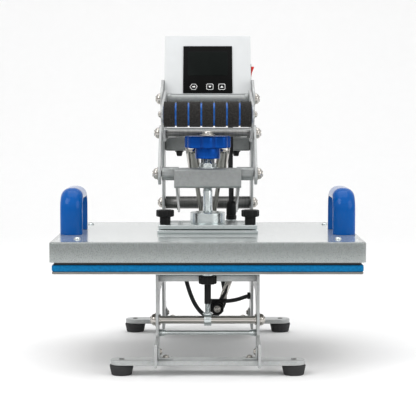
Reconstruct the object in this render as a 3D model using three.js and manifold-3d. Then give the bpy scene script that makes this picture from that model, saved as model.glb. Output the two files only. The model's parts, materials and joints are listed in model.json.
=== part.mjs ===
// Clamshell heat press with an over-centre toggle, shown closed.
// Millimetres, +Z up, front towards -Y, origin on the floor under the middle of the press.
import * as THREE from 'three';
import Module from 'manifold-3d';
import { mergeVertices } from 'three/addons/utils/BufferGeometryUtils.js';

const wasm = await Module();
wasm.setup();

// ---------------------------------------------------------------- driving dimensions
const GAP = 0.3; // clearance between touching pieces

// pivots in the side view: [Y, Z]
const HEAD_PIVOT = [197, 250];
const LEVER_PIVOT = [90, 445];
const KNEE = [24.2, 384.4];
const BEAM_SHAFT = [-50, 316];
const GRIP = [-110, 418.5];
const SPRING_TOP = [8, 356];
const SPRING_FOOT = [212, 184];

// layers across the press, as distances from the middle plane
const SIDE_IN = 80.5;
const SIDE_OUT = 85;
const LEVER_IN = 74;
const LEVER_OUT = 78.5;
const LINK_IN = 80.3;
const LINK_OUT = 85.3;
const ARM_IN = 52.3;
const ARM_OUT = 56.3;
const HEAD_OUT = 95; // outer face of the dome heads
const DOME_RADIUS = 9.75;

// base
const FRAME_FRONT = -272;
const FRAME_REAR = 272;
const FRAME_BOTTOM = 15;
const RAIL_TOP = 157;
const RAIL_FRONT = -199;
const UPRIGHT_FRONT = 158;
const UPRIGHT_REAR = 250;
const TOE_TOP = 55;
const ARCH_HALF = 150;
const ARCH_TOP = 118;
const HEEL = 6; // corner radius of the toes
const FOOT_SPREAD = 139;
const FOOT_BAR_HALF = 157;
const FOOT_BAR_DEPTH = 40;
const FOOT_BAR_BOTTOM = 17.3;
const FOOT_BAR_TOP = 25;
const FRONT_FOOT_Y = -235;
const REAR_FOOT_Y = 225;
const CROSS_ROD = [-185, 82];
const TIE_ROD = [-164, 57];

// platens
const PLATEN_Y = -50;
const PLATEN_WIDTH = 500;
const PLATEN_DEPTH = 400;
const LOWER_INSET = 0.5;
const HEATER_INSET = 3.5;
const PAD_BOTTOM = 168.2;
const PAD_TOP = 178.9;
const HEATER_BOTTOM = 179.2;
const COVER_BOTTOM = 183.3;
const COVER_TOP = 216;
const COVER_OVERHANG = 3.5;
const MOUNT_HALF_WIDTH = 84;

// head
const BEAM_HALF = 57.5;
const BEAM_BOTTOM = 292;
const BEAM_TOP = 325.5;
const BEAM_FRONT = -72;
const BEAM_REAR = -28;
const SPINDLE_RADIUS = 7.8;

// control head
const PANEL_FOOT = [134, 454];
const PANEL_TILT = THREE.MathUtils.degToRad(30);
const PANEL_LENGTH = 125.9;
const CASE_HALF = 80;

// ---------------------------------------------------------------- materials
function finish(color, roughness, metalness) {
  return new THREE.MeshStandardMaterial({ color, roughness, metalness });
}
const paint = finish(0x9aa3a0, 0.45, 0.3);
const zinc = finish(0xb4b8b6, 0.35, 0.9);
const chrome = finish(0xd2cec8, 0.12, 1);
const darkSteel = finish(0x5a5a58, 0.4, 0.9);
const casePaint = finish(0xe4e8ea, 0.4, 0.1);
const rubber = finish(0x232325, 0.8, 0);
const blackPlastic = finish(0x18181a, 0.5, 0);
const bluePlastic = finish(0x0750b8, 0.15, 0);
const blueAnodised = finish(0x0a55b4, 0.3, 0.5);
const silicone = finish(0x1a7fbe, 0.7, 0);
const aluminium = finish(0x8e8e8c, 0.4, 0.8);
const foam = finish(0x302f2d, 0.95, 0);
const glass = finish(0x0c0d0e, 0.08, 0);
const red = finish(0xd01712, 0.3, 0);
const board = finish(0x1d5a34, 0.6, 0);

// ---------------------------------------------------------------- solids
function toSolid(geometry) {
  const bare = geometry.clone();
  bare.deleteAttribute('normal');
  bare.deleteAttribute('uv');
  const merged = mergeVertices(bare, 1e-4);
  const index = merged.index.array;
  const kept = [];
  for (let i = 0; i < index.length; i += 3) {
    const [a, b, c] = [index[i], index[i + 1], index[i + 2]];
    if (a !== b && b !== c && c !== a) kept.push(a, b, c);
  }
  return new wasm.Manifold(new wasm.Mesh({
    numProp: 3,
    vertProperties: Float32Array.from(merged.attributes.position.array),
    triVerts: Uint32Array.from(kept),
  }));
}

function toGeometry(solid) {
  const mesh = solid.getMesh();
  const geometry = new THREE.BufferGeometry();
  geometry.setAttribute('position', new THREE.BufferAttribute(mesh.vertProperties, 3));
  geometry.setIndex(new THREE.BufferAttribute(mesh.triVerts, 1));
  geometry.computeVertexNormals();
  return geometry;
}

function join(...geometries) {
  return toGeometry(geometries.map(toSolid).reduce((whole, piece) => whole.add(piece)));
}

function cut(geometry, ...tools) {
  return toGeometry(tools.map(toSolid).reduce((whole, tool) => whole.subtract(tool), toSolid(geometry)));
}

// a box between two corners
function block([x0, y0, z0], [x1, y1, z1]) {
  return new THREE.BoxGeometry(x1 - x0, y1 - y0, z1 - z0)
    .translate((x0 + x1) / 2, (y0 + y1) / 2, (z0 + z1) / 2);
}

// a turned piece about +Z from [radius, height] pairs, bottom to top
function turned(profile, segments = 16) {
  const points = profile.map(([radius, height]) => new THREE.Vector2(radius, height));
  return new THREE.LatheGeometry(points, segments).rotateX(Math.PI / 2);
}

function cylinder(radius, bottom, top, segments = 16) {
  return turned([[0, bottom], [radius, bottom], [radius, top], [0, top]], segments);
}

// turns a piece made about +Z so that it lies along +X through [y, z]
function alongX(geometry, [y, z]) {
  return geometry.rotateY(Math.PI / 2).translate(0, y, z);
}

function rodX(radius, x0, x1, centre, segments = 16) {
  return alongX(cylinder(radius, x0, x1, segments), centre);
}

// a rod between the press's outer faces with a domed head on each end
function headedRod(radius, outer, centre) {
  const domeBase = outer + GAP;
  const profile = [
    [0, -HEAD_OUT], [DOME_RADIUS * 0.55, -HEAD_OUT + 1.5], [DOME_RADIUS, -HEAD_OUT + 6],
    [DOME_RADIUS, -domeBase], [radius, -domeBase], [radius, domeBase], [DOME_RADIUS, domeBase],
    [DOME_RADIUS, HEAD_OUT - 6], [DOME_RADIUS * 0.55, HEAD_OUT - 1.5], [0, HEAD_OUT],
  ];
  return alongX(turned(profile), centre);
}

// a plate cut from an outline in the side view, between two distances along X
function sidePlate(outline, x0, x1, curveSegments = 5) {
  const depth = x1 - x0;
  return new THREE.ExtrudeGeometry(outline, { depth, bevelEnabled: false, curveSegments })
    .rotateX(Math.PI / 2).rotateZ(Math.PI / 2).translate(x0, 0, 0);
}

function slab(outline, bottom, top, curveSegments = 3) {
  return new THREE.ExtrudeGeometry(outline, { depth: top - bottom, bevelEnabled: false, curveSegments })
    .translate(0, 0, bottom);
}

// outline of a belt pulled tight round discs [y, z, radius] taken anticlockwise
function belt(discs) {
  const edgeAngle = (from, to) => {
    const [dy, dz] = [to[0] - from[0], to[1] - from[1]];
    return Math.atan2(dz, dy) - Math.acos((from[2] - to[2]) / Math.hypot(dy, dz));
  };
  const outline = new THREE.Shape();
  discs.forEach((disc, i) => {
    const before = edgeAngle(discs.at(i - 1), disc);
    const after = edgeAngle(disc, discs[(i + 1) % discs.length]);
    outline.absarc(disc[0], disc[1], disc[2], before, after, false);
  });
  return outline;
}

function roundedRectangle(width, depth, radius, centreX = 0, centreY = 0) {
  const [x, y] = [width / 2 - radius, depth / 2 - radius];
  const corners = [[x, -y], [x, y], [-x, y], [-x, -y]];
  const outline = new THREE.Shape();
  corners.forEach(([cx, cy], i) => {
    const start = (i - 1) * Math.PI / 2;
    outline.absarc(centreX + cx, centreY + cy, radius, start, start + Math.PI / 2, false);
  });
  return outline;
}

function lobedOutline(radius, lobes, depth, steps) {
  const outline = new THREE.Shape();
  for (let i = 0; i < steps; i += 1) {
    const angle = (i / steps) * 2 * Math.PI;
    const reach = radius - depth * (0.5 - 0.5 * Math.cos(lobes * angle)) ** 1.5;
    const [x, y] = [reach * Math.cos(angle), reach * Math.sin(angle)];
    if (i === 0) outline.moveTo(x, y);
    else outline.lineTo(x, y);
  }
  outline.closePath();
  return outline;
}

// a round cable along a smooth route
function cable(points, radius, steps) {
  const section = new THREE.Shape().absarc(0, 0, radius, 0, 2 * Math.PI, false);
  const route = points.map((p) => new THREE.Vector3(...p));
  const extrudePath = new THREE.CatmullRomCurve3(route, false, 'centripetal');
  return new THREE.ExtrudeGeometry(section, { steps, extrudePath, curveSegments: 2 });
}

// ---------------------------------------------------------------- assembly
const press = new THREE.Group();
const sides = [['left', -1], ['right', 1]];

function add(name, geometry, material, parent = press) {
  const mesh = new THREE.Mesh(toGeometry(toSolid(geometry)), material);
  mesh.name = name;
  parent.add(mesh);
  return mesh;
}

// the two distances along X of a layer on the given side
function layer(side, inner, outer) {
  return side < 0 ? [-outer, -inner] : [inner, outer];
}

function addPair(name, make, material) {
  for (const [label, side] of sides) add(`${name}_${label}`, make(side), material);
}

// ---- side plates: toe, legs with an arch between them, upright and forward-leaning arm
function sideOutline() {
  const [legTop, armTop, armFront, corner] = [84, 480, 128, 10];
  const toeCorners = [[FRAME_FRONT + HEEL, Math.PI], [FRAME_REAR - HEEL, Math.PI * 1.5]];
  const outline = new THREE.Shape();
  outline.moveTo(FRAME_FRONT + HEEL, FRAME_BOTTOM);
  outline.lineTo(-ARCH_HALF, FRAME_BOTTOM);
  outline.lineTo(-ARCH_HALF + 18, legTop);
  outline.quadraticCurveTo(-ARCH_HALF + 26, ARCH_TOP, -ARCH_HALF + 58, ARCH_TOP);
  outline.lineTo(ARCH_HALF - 58, ARCH_TOP);
  outline.quadraticCurveTo(ARCH_HALF - 26, ARCH_TOP, ARCH_HALF - 18, legTop);
  outline.lineTo(ARCH_HALF, FRAME_BOTTOM);
  outline.absarc(toeCorners[1][0], FRAME_BOTTOM + HEEL, HEEL, toeCorners[1][1], Math.PI * 2, false);
  outline.absarc(toeCorners[1][0], TOE_TOP - HEEL, HEEL, 0, Math.PI / 2, false);
  outline.quadraticCurveTo(UPRIGHT_REAR, TOE_TOP + 2, UPRIGHT_REAR, legTop);
  outline.lineTo(UPRIGHT_REAR, 345);
  outline.lineTo(226, armTop - corner);
  outline.quadraticCurveTo(223, armTop, 223 - corner, armTop);
  outline.lineTo(armFront, armTop);
  const [ay, az] = LEVER_PIVOT;
  outline.absarc(ay, az, 22, THREE.MathUtils.degToRad(70), THREE.MathUtils.degToRad(215), false);
  outline.lineTo(UPRIGHT_FRONT, 296);
  outline.lineTo(UPRIGHT_FRONT, RAIL_TOP + corner);
  outline.quadraticCurveTo(UPRIGHT_FRONT, RAIL_TOP, UPRIGHT_FRONT - corner, RAIL_TOP);
  outline.lineTo(RAIL_FRONT, RAIL_TOP);
  outline.lineTo(RAIL_FRONT, TOE_TOP + corner);
  outline.quadraticCurveTo(RAIL_FRONT, TOE_TOP, RAIL_FRONT - corner, TOE_TOP);
  outline.absarc(toeCorners[0][0], TOE_TOP - HEEL, HEEL, Math.PI / 2, Math.PI, false);
  outline.absarc(toeCorners[0][0], FRAME_BOTTOM + HEEL, HEEL, toeCorners[0][1], Math.PI * 1.5, false);
  return outline;
}

function footBarClearance(y) {
  const half = FOOT_BAR_DEPTH / 2 + GAP;
  return block([-100, y - half, 0], [100, y + half, FOOT_BAR_TOP + GAP]);
}

function sidePlateBlank(side) {
  const bores = [[HEAD_PIVOT, 7.3], [LEVER_PIVOT, 5.3], [CROSS_ROD, 4.3], [TIE_ROD, 3.3]];
  return cut(
    sidePlate(sideOutline(), ...layer(side, SIDE_IN, SIDE_OUT)),
    footBarClearance(FRONT_FOOT_Y),
    footBarClearance(REAR_FOOT_Y),
    ...bores.map(([centre, radius]) => rodX(radius, -100, 100, centre)),
  );
}
addPair('side_plate', sidePlateBlank, paint);

// ---- foot bars and rubber feet
for (const [label, y] of [['front', FRONT_FOOT_Y], ['rear', REAR_FOOT_Y]]) {
  const outline = roundedRectangle(2 * FOOT_BAR_HALF, FOOT_BAR_DEPTH, FOOT_BAR_DEPTH / 2 - 0.5, 0, y);
  const holes = sides.map(([, side]) => cylinder(3, 0, 40, 12).translate(side * FOOT_SPREAD, y, 0));
  add(`${label}_foot_bar`, cut(slab(outline, FOOT_BAR_BOTTOM, FOOT_BAR_TOP), ...holes), paint);
  for (const [sideLabel, side] of sides) {
    const foot = turned([[0, 0], [15, 0], [16, 1], [19.4, 15], [18.6, 17], [0, 17]]);
    add(`rubber_foot_${label}_${sideLabel}`, foot.translate(side * FOOT_SPREAD, y, 0), rubber);
  }
}

// ---- rods and bars that tie the side plates together
function shoulderedRod(barRadius, endRadius, centre) {
  const shoulder = SIDE_IN - GAP;
  const domeBase = SIDE_OUT + GAP;
  const half = [
    [endRadius, shoulder], [endRadius, domeBase], [DOME_RADIUS, domeBase],
    [DOME_RADIUS, HEAD_OUT - 6], [DOME_RADIUS * 0.55, HEAD_OUT - 1.5], [0, HEAD_OUT],
  ];
  const mirrored = half.map(([radius, height]) => [radius, -height]).reverse();
  const profile = [...mirrored, [barRadius, -shoulder], [barRadius, shoulder], ...half];
  return alongX(turned(profile), centre);
}
add('base_cross_rod', shoulderedRod(6.5, 4, CROSS_ROD), chrome);

const tieHalf = [[3.5, SIDE_IN - 12], [6, SIDE_IN - GAP], [3, SIDE_IN - GAP], [3, SIDE_OUT], [0, SIDE_OUT]];
const tieProfile = [...tieHalf.map(([radius, x]) => [radius, -x]).reverse(), ...tieHalf];
add('base_tie_rod', alongX(turned(tieProfile), TIE_ROD), zinc);

add('main_pivot_rod', headedRod(7, SIDE_OUT, HEAD_PIVOT), chrome);
add('lever_pivot_axle', headedRod(5, SIDE_OUT, LEVER_PIVOT), chrome);
add('front_cross_bar', block([-SIDE_IN + GAP, -168, 143], [SIDE_IN - GAP, -156, 153]), paint);
add('rear_cross_beam', block([-SIDE_IN + GAP, 211, 347], [SIDE_IN - GAP, 241, 373]), paint);

// ---- anchor that holds the lower ends of the gas springs
const anchorEars = sides.map(([, side]) => {
  const [y, z] = SPRING_FOOT;
  return sidePlate(belt([[y, z - 18, 12], [y, z, 12]]), ...layer(side, 12, 16));
});
const anchorBar = block([-SIDE_IN + GAP, 196, 154], [SIDE_IN - GAP, 228, 161]);
add('spring_anchor', cut(join(anchorBar, ...anchorEars), block([-30, 180, 140], [30, 240, 154])), paint);

// ---- lower platen on its support plate
const SUPPORT_TOP = 163.8;
const supportPlate = block(
  [-SIDE_OUT, RAIL_FRONT, RAIL_TOP + GAP],
  [SIDE_OUT, UPRIGHT_FRONT - 14, SUPPORT_TOP],
);
add('platen_support_plate', supportPlate, zinc);

// outline of a sheet of the platens, inset from (or, where negative, past) their nominal size
function platenOutline(inset, radius) {
  return roundedRectangle(PLATEN_WIDTH - 2 * inset, PLATEN_DEPTH - 2 * inset, radius, 0, PLATEN_Y);
}
add('lower_platen', slab(platenOutline(LOWER_INSET, 4), SUPPORT_TOP + GAP, PAD_BOTTOM - GAP), aluminium);
add('silicone_pad', slab(platenOutline(0, 5), PAD_BOTTOM, PAD_TOP), silicone);

// ---- centre support post on the front cross rod
const [postY, postZ] = CROSS_ROD;
const postEye = cut(
  join(cylinder(8.5, 74, 93.2, 6), rodX(10, -6, 6, [0, postZ])),
  rodX(6.8, -20, 20, [0, postZ]),
  cylinder(5, postZ, 100, 16),
);
add('support_post_eye', postEye.translate(0, postY, 0), zinc);
const postScrew = join(
  turned([[0, 93.5], [4.65, 93.5], [4.65, 108], [5.5, 108], [5.5, 142], [0, 142]], 16),
  slab(lobedOutline(14.75, 8, 2, 32), 141, 155),
);
add('support_post_screw', postScrew.translate(0, postY, 0), blackPlastic);
add('support_post_pad', cylinder(11, 155.3, 157).translate(0, postY, 0), zinc);

// ---- upper platen: heater plate with its block, cover, mount plates, cup and handles
const heater = join(
  slab(platenOutline(HEATER_INSET, 4), HEATER_BOTTOM, COVER_BOTTOM - GAP),
  slab(platenOutline(15, 4), COVER_BOTTOM - 1, COVER_BOTTOM + 14),
);
add('heater_plate', heater, aluminium);

const COVER_WALL = 4;
const coverShell = cut(
  join(
    slab(platenOutline(-COVER_OVERHANG, 7), COVER_BOTTOM, COVER_TOP - 3),
    slab(platenOutline(2 - COVER_OVERHANG, 6), COVER_TOP - 4, COVER_TOP),
  ),
  slab(platenOutline(COVER_WALL - COVER_OVERHANG, 5), COVER_BOTTOM - 2, COVER_TOP - COVER_WALL),
);
add('platen_cover', coverShell, paint);

const [mountX, mountFront, mountRear] = [MOUNT_HALF_WIDTH, PLATEN_Y - 50, PLATEN_Y + 50];
const [lowerMountTop, upperMountBottom, MOUNT_TOP] = [222, 224, 231];
const lowerMount = block([-mountX, mountFront, COVER_TOP + GAP], [mountX, mountRear, lowerMountTop]);
add('mount_plate_lower', lowerMount, zinc);
const spacers = [-77, 77].flatMap((x) => [mountFront + 12, mountRear - 12].map(
  (y) => cylinder(3.5, lowerMountTop + GAP, upperMountBottom + 1, 12).translate(x, y, 0),
));
const upperMount = block([-mountX, mountFront, upperMountBottom], [mountX, mountRear, MOUNT_TOP]);
add('mount_plate_upper', join(upperMount, ...spacers), zinc);

const [CUP_TOP, CUP_FLOOR] = [250, 236];
const cupBore = SPINDLE_RADIUS + 0.5;
const cupProfile = [
  [0, MOUNT_TOP + GAP], [29.5, MOUNT_TOP + GAP], [29.5, CUP_TOP - 1], [28.5, CUP_TOP],
  [cupBore, CUP_TOP], [cupBore, CUP_FLOOR], [0, CUP_FLOOR],
];
add('spindle_cup', turned(cupProfile, 20).translate(0, PLATEN_Y, 0), zinc);

const HANDLE_X = 230;
function loopHandle(side) {
  const [frontY, rearY, top, bar] = [-125, 8, 294, 21];
  const arch = new THREE.Shape();
  arch.moveTo(frontY, COVER_TOP + GAP);
  arch.lineTo(frontY + bar, COVER_TOP + GAP);
  arch.lineTo(frontY + bar, top - bar - 18);
  arch.quadraticCurveTo(frontY + bar, top - bar, frontY + bar + 18, top - bar);
  arch.lineTo(rearY - bar - 18, top - bar);
  arch.quadraticCurveTo(rearY - bar, top - bar, rearY - bar, top - bar - 18);
  arch.lineTo(rearY - bar, COVER_TOP + GAP);
  arch.lineTo(rearY, COVER_TOP + GAP);
  arch.lineTo(rearY, top - 30);
  arch.quadraticCurveTo(rearY, top, rearY - 30, top);
  arch.lineTo(frontY + 30, top);
  arch.quadraticCurveTo(frontY, top, frontY, top - 30);
  const x = side * HANDLE_X;
  return sidePlate(arch, x - 19, x + 19);
}
addPair('loop_handle', loopHandle, bluePlastic);

function teeKnob(side) {
  const knob = join(
    cylinder(9.25, MOUNT_TOP + GAP, 245),
    slab(lobedOutline(15.25, 8, 1.6, 32), 244, 256),
  );
  return knob.translate(side * 72.6, -82, 0);
}
addPair('tee_knob', teeKnob, blackPlastic);

const GLAND = [43, 103];
const glandProfile = [
  [0, COVER_TOP + GAP], [8, COVER_TOP + GAP], [8, 231], [9, 232], [9, 250], [7, 258],
  [6.2, 258], [6.2, 226], [0, 226],
];
add('cable_gland', turned(glandProfile, 16).translate(GLAND[0], GLAND[1], 0), blackPlastic);

// ---- pressure spindle and knob
const spindleProfile = [
  [0, CUP_FLOOR + GAP], [SPINDLE_RADIUS, CUP_FLOOR + GAP], [SPINDLE_RADIUS, 358],
  [5, 358], [5, 381.5], [11.5, 381.5],
  [11.5, 385.5], [8, 389], [0, 390.5],
];
add('spindle', turned(spindleProfile).translate(0, PLATEN_Y, 0), zinc);
const knob = cut(
  join(cylinder(20.5, 342, 361, 20), slab(lobedOutline(40.5, 7, 7, 56), 360, 381)),
  cylinder(SPINDLE_RADIUS + GAP, 341, 358.3),
  cylinder(5 + GAP, 350, 390),
);
add('pressure_knob', knob.translate(0, PLATEN_Y, 0), blueAnodised);

// ---- head: box beam with a threaded core and a spring bracket, shaft stubs, arms and pivot sleeve
const wall = 4;
const beamTube = cut(
  block([-BEAM_HALF, BEAM_FRONT, BEAM_BOTTOM], [BEAM_HALF, BEAM_REAR, BEAM_TOP]),
  block([-70, BEAM_FRONT + wall, BEAM_BOTTOM + wall], [70, BEAM_REAR - wall, BEAM_TOP - wall]),
);
const beamCore = block([-15, BEAM_FRONT + 1, BEAM_BOTTOM + 1], [15, BEAM_REAR - 1, BEAM_TOP - 1]);
const bracket = sidePlate(belt([[-20, 302, 9.5], [...SPRING_TOP, 9], [-20, 313, 9.5]]), -12, 12);
const springPin = rodX(5, -37, 37, SPRING_TOP);
const beam = cut(
  join(beamTube, beamCore, bracket, springPin),
  cylinder(SPINDLE_RADIUS + GAP, 280, 340).translate(0, PLATEN_Y, 0),
);
add('head_beam', beam, paint);

function beamShaft(side) {
  const [radius, journal, shoulder, headBase] = [11.5, 5, LEVER_OUT + 0.5, LINK_OUT + 0.9];
  const inner = wall + GAP;
  const plugEnd = BEAM_HALF - 14;
  const stub = [
    [0, plugEnd], [radius, plugEnd], [radius, shoulder], [journal, shoulder], [journal, headBase],
    [DOME_RADIUS, headBase], [DOME_RADIUS, HEAD_OUT - 6],
    [DOME_RADIUS * 0.55, HEAD_OUT - 1.5], [0, HEAD_OUT],
  ];
  const plug = block(
    [plugEnd, BEAM_FRONT + inner, BEAM_BOTTOM + inner],
    [BEAM_HALF - 1, BEAM_REAR - inner, BEAM_TOP - inner],
  );
  const aboveTube = block([0, BEAM_FRONT, BEAM_TOP - inner], [BEAM_HALF + GAP, BEAM_REAR, BEAM_TOP + 10]);
  const shaft = cut(join(plug, alongX(turned(stub), BEAM_SHAFT)), aboveTube);
  return side < 0 ? shaft.rotateZ(Math.PI).translate(0, 2 * PLATEN_Y, 0) : shaft;
}
addPair('beam_shaft', beamShaft, darkSteel);

function headArm(side) {
  const outline = new THREE.Shape();
  const [dy, dz] = HEAD_PIVOT;
  outline.moveTo(BEAM_REAR + GAP, BEAM_BOTTOM);
  outline.lineTo(60, 268);
  outline.absarc(dy, dz, 19, THREE.MathUtils.degToRad(255), THREE.MathUtils.degToRad(75), false);
  outline.lineTo(60, 306);
  outline.lineTo(BEAM_REAR + GAP, BEAM_TOP);
  return cut(sidePlate(outline, ...layer(side, ARM_IN, ARM_OUT)), rodX(10.8, -100, 100, HEAD_PIVOT));
}
addPair('head_arm', headArm, paint);
const sleeve = cut(rodX(10.5, -79.8, 79.8, HEAD_PIVOT), rodX(7.3, -90, 90, HEAD_PIVOT));
add('pivot_sleeve', sleeve, darkSteel);

// ---- toggle lever with its roller grip
function leverPlate(side) {
  const outline = belt([[...GRIP, 14], [...KNEE, 15], [62, 384, 13], [...LEVER_PIVOT, 16]]);
  return cut(
    sidePlate(outline, ...layer(side, LEVER_IN, LEVER_OUT)),
    rodX(5.3, -100, 100, LEVER_PIVOT),
    rodX(4.8, -100, 100, GRIP),
  );
}
addPair('lever_plate', leverPlate, paint);
const tubeEnd = LEVER_IN - GAP;
const pivotTube = cut(rodX(6.5, -tubeEnd, tubeEnd, LEVER_PIVOT), rodX(5.3, -90, 90, LEVER_PIVOT));
add('lever_pivot_tube', pivotTube, chrome);
add('knee_rod', rodX(6.5, -tubeEnd, tubeEnd, KNEE), darkSteel);
const axleHead = LEVER_OUT + GAP;
const gripAxle = turned([
  [0, -84], [5.5, -82], [5.5, -axleHead], [4.5, -axleHead],
  [4.5, axleHead], [5.5, axleHead], [5.5, 82], [0, 84],
], 16);
add('grip_axle', alongX(gripAxle, GRIP), chrome);

const FOAM_SEGMENTS = 7;
const GRIP_HALF = 73.5;
function rollerGrip() {
  const [foamRadius, coreRadius, boreRadius, ring] = [21.85, 19, 4.8, 3];
  const pitch = (2 * GRIP_HALF + ring) / FOAM_SEGMENTS;
  const profile = [[boreRadius, GRIP_HALF], [boreRadius, -GRIP_HALF]];
  for (let i = 0; i < FOAM_SEGMENTS; i += 1) {
    const start = -GRIP_HALF + i * pitch;
    if (i > 0) profile.push([coreRadius, start - ring], [coreRadius, start]);
    profile.push([foamRadius, start], [foamRadius, start + pitch - ring]);
  }
  profile.push([boreRadius, GRIP_HALF]);
  return alongX(turned(profile, 18), GRIP);
}
add('roller_grip', rollerGrip(), foam);

// ---- toggle links with the knee bolts fixed in them
function toggleLink(side) {
  const outline = belt([[...BEAM_SHAFT, 19], [...KNEE, 14]]);
  const bolt = turned([
    [0, LINK_OUT - 1], [DOME_RADIUS, LINK_OUT - 1], [DOME_RADIUS, HEAD_OUT - 6],
    [DOME_RADIUS * 0.55, HEAD_OUT - 1.5], [0, HEAD_OUT],
  ]);
  const boltHead = alongX(bolt, KNEE);
  if (side < 0) boltHead.rotateZ(Math.PI).translate(0, 2 * KNEE[0], 0);
  return cut(
    join(sidePlate(outline, ...layer(side, LINK_IN, LINK_OUT)), boltHead),
    rodX(5.3, -87, 87, BEAM_SHAFT),
  );
}
addPair('toggle_link', toggleLink, paint);

// ---- gas springs between the head's bracket and the base anchor
const SPRING_TOP_X = 28;
const SPRING_FOOT_X = 5.5;
const TUBE_END = 80;
function springAxis(side) {
  const top = new THREE.Vector3(side * SPRING_TOP_X, ...SPRING_TOP);
  const foot = new THREE.Vector3(side * SPRING_FOOT_X, ...SPRING_FOOT);
  return { top, length: top.distanceTo(foot), down: foot.sub(top).normalize() };
}

// turns a piece made about +Z so that it runs down the spring from its upper eye
function downSpring(geometry, side) {
  const { top, down } = springAxis(side);
  const turn = new THREE.Quaternion().setFromUnitVectors(new THREE.Vector3(0, 0, 1), down);
  return geometry.applyQuaternion(turn).translate(top.x, top.y, top.z);
}

function springTube(side) {
  const tube = [
    [0, 8], [11, 11], [11, TUBE_END - 3], [9.5, TUBE_END], [4.5, TUBE_END], [4.5, TUBE_END - 5],
    [9.5, TUBE_END - 5], [9.5, 20], [0, 20],
  ];
  const eyeX = side * SPRING_TOP_X;
  return cut(
    join(downSpring(turned(tube), side), rodX(10.5, eyeX - 7, eyeX + 7, SPRING_TOP)),
    rodX(5.3, -60, 60, SPRING_TOP),
  );
}
addPair('gas_spring_tube', springTube, chrome);

function springRod(side) {
  const { length } = springAxis(side);
  const rod = [[0, 44], [9, 44], [9, 52], [4, 52], [4, length - 6], [0, length - 6]];
  const eyeX = side * SPRING_FOOT_X;
  return cut(
    join(downSpring(turned(rod), side), rodX(9, eyeX - 3, eyeX + 3, SPRING_FOOT)),
    rodX(3.4, -60, 60, SPRING_FOOT),
  );
}
addPair('gas_spring_rod', springRod, chrome);

// ---- control head between the tops of the uprights
function polygon(corners) {
  return new THREE.Shape(corners.map(([y, z]) => new THREE.Vector2(y, z)));
}
const caseOuter = polygon([[136.8, 454], [248, 454], [248, 544], [232, 563], [199.7, 563]]);
const caseInner = polygon([[130, 456], [246, 456], [246, 543.2], [231, 561], [190.6, 561]]);
const SWITCH = [190, 495];
const caseShell = cut(
  sidePlate(caseOuter, -CASE_HALF, CASE_HALF),
  sidePlate(caseInner, -CASE_HALF + 2, CASE_HALF - 2),
  block([70, SWITCH[0] - 8.5, SWITCH[1] - 13], [90, SWITCH[0] + 8.5, SWITCH[1] + 13]),
  cylinder(7, 440, 460, 16).translate(GLAND[0], 197, 0),
  block([-54, 240, 481], [-26, 260, 499]),
);
add('control_case', caseShell, casePaint);

const slope = new THREE.Group();
slope.position.set(0, ...PANEL_FOOT);
slope.rotation.x = -PANEL_TILT;
press.add(slope);
add('control_panel', block([-CASE_HALF, 0, 0], [CASE_HALF, 2, PANEL_LENGTH]), casePaint, slope);
add('display_glass', block([-45.5, -2.5, 1.3], [45.5, -GAP, 102.2]), glass, slope);
const modules = [[-40, 60], [10, 40], [-10, 85]];
const moduleBlocks = modules.map(([x, z]) => block([x - 9, 15.5, z - 7], [x + 9, 26, z + 7]));
add('control_board', join(block([-58, 14, 14], [58, 16, 106]), ...moduleBlocks), board, slope);

const rockerProfile = polygon([[-4, -11], [3.4, -11], [4.4, 0], [9.5, 10.5], [-4, 10.5]]);
const rocker = new THREE.ExtrudeGeometry(rockerProfile, { depth: 15, bevelEnabled: false })
  .rotateX(Math.PI / 2).translate(77.5, SWITCH[0] + 7.5, SWITCH[1]);
add('rocker_switch', rocker, red);

const inletX = -40;
const inletFlange = block([inletX - 25, 248.3, 477], [inletX + 25, 250.5, 503]);
const inletBody = block([inletX - 13, 226, 482], [inletX + 13, 249, 498]);
const inletSocket = block([inletX - 11, 230, 484], [inletX + 11, 260, 496]);
const inlet = cut(join(inletFlange, inletBody), inletSocket);
add('power_inlet', inlet, blackPlastic);

// ---- cables held by the press
const headCable = [
  [43, 103, 238], [43, 103, 254], [43, 103, 270], [43, 112, 294],
  [43, 134, 304], [43, 158, 297], [43, 172, 285],
];
add('heater_cable_head', cable(headCable, 4.6, 12), rubber);
const baseCable = [[43, 200, 281], [43, 201, 300], [43, 201, 340], [43, 200, 400], [43, 197, 470]];
add('heater_cable_base', cable(baseCable, 4.6, 12), rubber);
const sensorCable = [
  [-45, 195, 150], [-41, 195, 104], [-26, 195, 60], [-6, 195, 36], [16, 195, 36],
  [30, 195, 56], [32, 195, 80], [27, 195, 112], [26, 195, 150],
];
add('base_cable', cable(sensorCable, 4, 26), rubber);

export default press;
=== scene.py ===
"""Heat press: the finished pieces, materials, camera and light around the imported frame."""
import json
import math

import bmesh
import bpy
from mathutils import Matrix, Vector


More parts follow.
